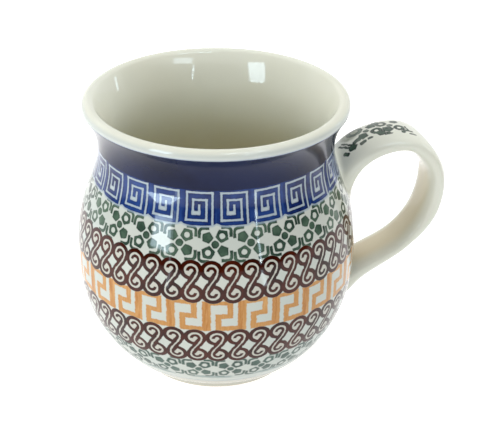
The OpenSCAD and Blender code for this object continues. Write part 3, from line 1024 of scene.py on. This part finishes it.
# plain cobalt collar, thinner where it runs out at the top and drawn unevenly over the keys
collarPaint = {"shine": 0.22, "ragged": 0.5, "runOut": (-0.1, 0.45), "overKey": (0.7, 1.1)}
material, bench, place, skin, ground = startGlaze("cobaltGlaze", 0.09)
wrap, tall = wrapOf(bench)
cloud = bench.patches(place, 60.0, 3.0, 0.3, 0.7)
colour = bench.mix(cloud, glazeColours["cobaltThin"], glazeColours["cobaltFull"])
tall = bench.plus(tall, bench.times(bench.noise(place, 400.0, 2.0)["Fac"], collarPaint["ragged"]))
topLine, keyLine = alongWall(bandTops["cobalt"]), alongWall(bandTops["key"])
runOut = bench.ramp(tall, *(topLine + step for step in collarPaint["runOut"]))
colour = tinted(bench, runOut, colour, "cobaltRunOut")
overKey = bench.fall(tall, *(keyLine + step for step in collarPaint["overKey"]))
colour = bench.mix(overKey, colour, stampOn(bench, wrap, place, "key", ground))
finishGlaze(bench, skin, colour, collarPaint["shine"])
made["cobaltBand"].data.materials.append(material)

# cream lining, tinged blue where it meets the collar, with painted cool shade and reflection on the lip's
# outer face and painted shade deep inside; radii and heights in metres, as the coordinates are
liningPaint = {"lipFrom": (0.0405, 0.0419), "lipAbove": (0.089, 0.0905), "blue": (0.0925, 0.0933),
               "lipShading": (0.0938, 0.0954), "deep": (0.055, 0.078),
               "blueTone": 0.55, "lipShadingTone": 0.8, "deepTone": 0.75}
material, bench, place, skin, ground = startGlaze("creamGlaze", 0.035)
z = bench.split(place)[2]
away = bench.vector("LENGTH", bench.vector("MULTIPLY", place, (1, 1, 0)))
outside = bench.times(bench.ramp(away, *liningPaint["lipFrom"]), bench.ramp(z, *liningPaint["lipAbove"]))
blue = bench.times(bench.fall(z, *liningPaint["blue"], liningPaint["blueTone"]), outside)
# painted cool shade and reflection on the lip's outer face, above the collar
lipShading = bench.times(bench.fall(z, *liningPaint["lipShading"], liningPaint["lipShadingTone"]), outside)
# painted shade: darker and warmer deep inside the mug
deep = bench.fall(z, *liningPaint["deep"], liningPaint["deepTone"])
colour = tinted(bench, deep, ground, "liningShade")
colour = tinted(bench, blue, tinted(bench, lipShading, colour, "lipShadeCool"), "lipBlue")
finishGlaze(bench, skin, colour)
for name in ("innerGlaze", "baseGlaze"):
    made[name].data.materials.append(material)

# green stamps smeared along the handle's crown, in mm along it and across it
crownMarks = {
    # x, y, radius, half the line's width
    "rings": [
        (17.2, -0.8, 1.45, 0.6), (25.0, -1.0, 1.35, 0.5), (19.8, 3.2, 1.35, 0.58), (10.5, 3.9, 2.1, 0.75),
    ],
    # x, y, radius, turn
    "petals": [
        (21.0, -1.3, 1.65, 0.4), (18.3, -3.0, 1.45, 1.1), (20.6, -4.1, 0.85, 0.2), (14.2, 1.2, 0.9, 0.5),
        (12.3, -1.4, 1.6, 0.1), (7.6, -4.3, 1.45, 0.6), (16.4, 3.8, 1.55, 0.9), (18.2, 5.4, 1.2, 0.3),
        (22.3, 1.2, 0.9, 0.7), (24.5, 4.0, 1.25, 0.2), (25.7, -3.9, 0.75, 0.5), (8.4, 3.4, 0.8, 0.5),
    ],
    # x and y of both ends, half the line's width
    "strokes": [
        (8.9, -2.5, 11.2, -1.9, 0.9), (3.5, 0.9, 6.4, -3.6, 0.36), (4.9, 1.3, 7.4, -3.0, 0.34),
        (4.3, -4.7, 5.2, -5.8, 0.62), (10.9, -5.0, 11.9, -4.5, 0.68), (13.6, -4.1, 14.5, -4.0, 0.45),
        (27.3, 0.0, 27.7, -2.4, 0.28), (26.4, -2.7, 28.9, -3.2, 0.5), (28.0, -4.8, 30.0, -4.9, 0.35),
        (30.5, 5.6, 35.5, 6.1, 0.14), (19.4, -4.6, 21.6, -4.4, 0.3),
    ],
    "crown": 21.9, "wobble": 0.9, "spread": 0.08, "soft": 0.22, "gather": 0.6,
    "fade": (26.0, 36.0), "faded": 0.5, "under": (13.5, 18.5), "innerShadeTone": 0.85,
    "smear": (8.6, 3.6, 0), "smearSpan": (2.4, 4.4), "smearTone": 0.85,
}
material, bench, place, skin, ground = startGlaze("handleGlaze", 0.045)
wrap = bench.add("ShaderNodeUVMap", uv_map="wrap").outputs[0]
along, across = bench.split(bench.vector("SCALE", wrap, 100.0))[:2]
across = bench.minus(across, crownMarks["crown"])
wobble = bench.drift(place, crownMarks["wobble"], 700.0, 1.5, 0.6)
spot = bench.vector("MULTIPLY", bench.vector("ADD", bench.join(along, across), wobble), (1, 1, 0))
allRound = {"Bearing": 0.0, "Sweep": 2 * math.pi}
marks = [bench.edge(hookEdge, spot, Middle=(x, y, 0), Radius=radius, Half=half, **allRound)
         for x, y, radius, half in crownMarks["rings"]]
marks += [bench.edge(petalEdge, spot, Middle=(x, y, 0), Radius=radius, Turn=turn)
          for x, y, radius, turn in crownMarks["petals"]]
marks += [bench.edge(strokeEdge, spot, Start=(x0, y0, 0), End=(x1, y1, 0), Half=half)
          for x0, y0, x1, y1, half in crownMarks["strokes"]]
closest = bench.minus(bench.nearest(marks), crownMarks["spread"])
ink = bench.group(inkWash, Place=place, Distance=closest, Unit=1.0, Gather=crownMarks["gather"],
                  Thin=glazeColours["greenThin"], Full=glazeColours["greenDark"])[0]
mask = bench.group(inkEdge, Distance=closest, Soft=crownMarks["soft"])[0]
worn = bench.patches(place, 260.0, 2.0, 0.3, 0.62, 0.8, 1.0)
fade = bench.times(worn, bench.ramp(along, *crownMarks["fade"], 1.0, crownMarks["faded"]))
# painted warm shade on the handle's inner face, away from the crown
under = bench.ramp(bench.math("ABSOLUTE", across), *crownMarks["under"], 0.0, crownMarks["innerShadeTone"])
colour = tinted(bench, under, ground, "creamShaded")
away = bench.vector("DISTANCE", spot, crownMarks["smear"])
smear = bench.fall(away, *crownMarks["smearSpan"], crownMarks["smearTone"])
colour = tinted(bench, bench.times(smear, worn), colour, "greenSmear")
finishGlaze(bench, skin, bench.mix(bench.times(mask, fade), colour, ink))
made["handleGlaze"].data.materials.append(material)

# bare clay of the foot ring, with sand in it, and the slip that joins the handle on
clayLook = {"grain": 1400.0, "sand": 900.0, "sandTone": 0.4, "roughness": (0.78, 0.92), "relief": 0.08,
            "dark": linear(206, 196, 176), "light": linear(226, 218, 202),
            "sandDark": linear(150, 128, 100)}
material, bench = newMaterial("bareStoneware")
place = bench.add("ShaderNodeTexCoord").outputs["Object"]
grain = bench.noise(place, clayLook["grain"], 3.0, 0.6)["Fac"]
sand = bench.add("ShaderNodeTexVoronoi", {"Vector": place, "Scale": clayLook["sand"]}).outputs["Distance"]
colour = bench.mix(bench.ramp(grain, 0.3, 0.7), clayLook["dark"], clayLook["light"])
colour = bench.mix(bench.fall(sand, 0.05, 0.2, clayLook["sandTone"]), colour, clayLook["sandDark"])
relief = bench.add("ShaderNodeBump", {
    "Strength": 0.6, "Distance": clayLook["relief"] * mm, "Height": grain})
shader = bench.add("ShaderNodeBsdfPrincipled", {
    "Base Color": colour, "Roughness": bench.ramp(grain, 0.2, 0.8, *clayLook["roughness"]),
    "Normal": relief.outputs[0]})
bench.add("ShaderNodeOutputMaterial", {"Surface": shader.outputs[0]})
slipMaterial = material.copy()
slipMaterial.name = "joiningSlip"
clayNodes = {"stoneware_body": material, "handle": material,
             "upper_slip_joint": slipMaterial, "lower_slip_joint": slipMaterial}
for node, clay in clayNodes.items():
    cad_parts[node].data.materials.clear()
    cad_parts[node].data.materials.append(clay)
print("materials done:", len(bpy.data.materials))

# ---- floor, lamps and camera ----

studio = {
    "floorRadius": 0.5, "floorSides": 96, "floorGrey": 0.8, "floorGlow": 0.62,
    "sky": 0.46, "horizon": 0.98, "table": 0.95, "skySpan": (0.1, 0.95), "tableSpan": (-0.2, 0.05),
    "lampAim": 0.055, "glowHeight": 0.003, "daylight": (0.7, 0.88, 1.0),
}
cameraSetup = {"azimuth": -100.5, "elevation": 28.67, "distance": 0.4567, "aim": 0.0475,
               "sensor_width": 36, "lens": 97.34, "shift_x": 0.0678, "shift_y": 0.0212, "clip_start": 0.01}
view = cameraSetup["azimuth"]


def directionTo(azimuth, elevation):
    turn, rise = math.radians(azimuth), math.radians(elevation)
    return Vector((math.cos(turn) * math.cos(rise), math.sin(turn) * math.cos(rise), math.sin(rise)))


def seenPlainly(bench):
    # 1 for what the camera, a mirror or a clear glass sees, and 0 for what lights the mug
    path = bench.add("ShaderNodeLightPath").outputs
    return bench.most(bench.most(path["Is Camera Ray"], path["Is Glossy Ray"]), path["Is Transmission Ray"])


bpy.ops.object.select_all(action="DESELECT")
bpy.ops.mesh.primitive_circle_add(
    vertices=studio["floorSides"], radius=studio["floorRadius"], fill_type="NGON", location=(0, 0, 0))
floor = bpy.context.object
floor.name = "studioFloor"
material, bench = newMaterial("studioFloor")
above = bench.minus(1.0, bench.add("ShaderNodeNewGeometry").outputs["Backfacing"])
grey = studio["floorGrey"]
paper = bench.add("ShaderNodeBsdfDiffuse", {"Color": (grey, grey, grey, 1)}).outputs[0]
glow = bench.add("ShaderNodeEmission", {"Color": (1, 1, 1, 1), "Strength": studio["floorGlow"]}).outputs[0]
lit = bench.add("ShaderNodeAddShader", {0: paper, 1: glow}).outputs[0]
clearAway = bench.add("ShaderNodeBsdfTransparent").outputs[0]
shown = bench.times(seenPlainly(bench), above)
surface = bench.add("ShaderNodeMixShader", {0: shown, 1: clearAway, 2: lit}).outputs[0]
bench.add("ShaderNodeOutputMaterial", {"Surface": surface})
floor.data.materials.append(material)

world = bpy.data.worlds.new("studioWorld")
bpy.context.scene.world = world
world.use_nodes = True
world.node_tree.nodes.clear()
bench = NodeBench(world.node_tree)
z = bench.split(bench.add("ShaderNodeTexCoord").outputs["Generated"])[2]
soft = bench.least(bench.ramp(z, *studio["skySpan"], studio["horizon"], studio["sky"]),
                   bench.ramp(z, *studio["tableSpan"], studio["table"], studio["horizon"]))
strength = bench.add("ShaderNodeMix", {"Factor": seenPlainly(bench), 2: soft, 3: 1.0}).outputs[0]
backdrop = bench.add("ShaderNodeBackground", {"Color": (1, 1, 1, 1), "Strength": strength}).outputs[0]
bench.add("ShaderNodeOutputWorld", {"Surface": backdrop})

# turn from the camera and height above the table in degrees, distance, width and height in metres,
# power in watts, and whether the lamp gives light or only shows in the glaze
lamps = {
    "windowFill": (-46, 12, 0.62, 0.2, 0.4, 1.1, "light"),
    "leftFill": (-105, 12, 0.62, 0.25, 0.3, 0.8, "light"),
    "windowLamp": (-45, 22, 0.62, 0.18, 0.38, 3.3, "gloss"),
    "edgeLamp": (-35.5, 14, 0.62, 0.006, 0.3, 0.06, "gloss"),
    "handleLamp": (32, 62, 0.8, 0.36, 0.1, 2.0, "gloss"),
    "stripLamp": (34, 5, 0.6, 0.014, 0.12, 0.11, "gloss"),
    "thinLamp": (25, 24, 0.62, 0.012, 0.24, 0.22, "gloss"),
    "highLamp": (37, 41, 0.7, 0.2, 0.09, 0.5, "gloss"),
    "sideLamp": (117, 16, 0.62, 0.03, 0.14, 0.1, "gloss"),
    "topLamp": (150, 62, 0.9, 0.6, 0.6, 3.9, "light"),
}
# the window and two gaps of light again, as the table throws them back:
# turn, distance, width, length, power
tableGlows = {
    "tableWindow": (-46.5, 0.42, 0.14, 0.36, 2.9),
    "tableEdge": (-34, 0.32, 0.007, 0.3, 0.04),
    "tableStrip": (34, 0.36, 0.01, 0.36, 0.1),
}


def addLamp(name, turn, rise, away, width, height, power, use):
    towards = directionTo(view + turn, rise)
    bpy.ops.object.light_add(type="AREA", location=Vector((0, 0, studio["lampAim"])) + towards * away)
    lamp = bpy.context.object
    lamp.name = name
    lamp.rotation_euler = towards.to_track_quat("Z", "Y").to_euler()
    lamp.data.shape = "RECTANGLE"
    lamp.data.size = width
    lamp.data.size_y = height
    lamp.data.energy = power
    lamp.data.color = studio["daylight"] if use == "gloss" else (1, 1, 1)
    lamp.visible_camera = False
    lamp.visible_diffuse = use == "light"
    lamp.visible_glossy = use == "gloss"
    return lamp


for name, setup in lamps.items():
    addLamp(name, *setup)
for name, (turn, away, width, long, power) in tableGlows.items():
    lamp = addLamp(name, turn, 0, away, width, long, power, "gloss")
    lamp.location.z = studio["glowHeight"]
    lamp.rotation_euler = (math.pi, 0, math.radians(view + turn + 90))
    if name == "tableWindow":
        # the shoulder throws this one back and the belly under it doesn't
        shoulder = bpy.data.collections.new("shoulder")
        shoulder.objects.link(made["keyBand"])
        lamp.light_linking.receiver_collection = shoulder

# dark card round the camera's side, only for the glaze to mirror
card = {"radius": 0.78, "foot": 0.002, "height": 0.62, "reach": 108, "sides": 90, "glow": 0.0}
bpy.ops.object.select_all(action="DESELECT")
bpy.ops.mesh.primitive_circle_add(
    vertices=card["sides"], radius=card["radius"], location=(0, 0, card["foot"]))
panel = bpy.context.object
panel.name = "studioCard"
bpy.ops.object.mode_set(mode="EDIT")
bpy.ops.mesh.select_all(action="SELECT")
bpy.ops.mesh.extrude_region_move(TRANSFORM_OT_translate={"value": (0, 0, card["height"])})
bpy.ops.mesh.select_all(action="DESELECT")
bpy.ops.object.mode_set(mode="OBJECT")
for point in panel.data.vertices:
    off = math.atan2(point.co.y, point.co.x) - math.radians(view)
    off = (off + math.pi) % (2 * math.pi) - math.pi
    point.select = abs(off) > math.radians(card["reach"])
bpy.ops.object.mode_set(mode="EDIT")
bpy.ops.mesh.delete(type="VERT")
bpy.ops.object.mode_set(mode="OBJECT")
panel.visible_camera = False
panel.visible_diffuse = False
panel.visible_shadow = False
panel.visible_transmission = False
material, bench = newMaterial("studioCard")
cloth = bench.add("ShaderNodeEmission", {"Color": (1, 1, 1, 1), "Strength": card["glow"]}).outputs[0]
bench.add("ShaderNodeOutputMaterial", {"Surface": cloth})
panel.data.materials.append(material)

lookFrom = directionTo(view, cameraSetup["elevation"])
bpy.ops.object.camera_add(location=Vector((0, 0, cameraSetup["aim"])) + lookFrom * cameraSetup["distance"])
camera = bpy.context.object
camera.name = "studioCamera"
camera.rotation_euler = lookFrom.to_track_quat("Z", "Y").to_euler()
for setting in ("sensor_width", "lens", "shift_x", "shift_y", "clip_start"):
    setattr(camera.data, setting, cameraSetup[setting])
bpy.context.scene.camera = camera
bpy.context.scene.view_settings.view_transform = "Standard"
print("studio set")
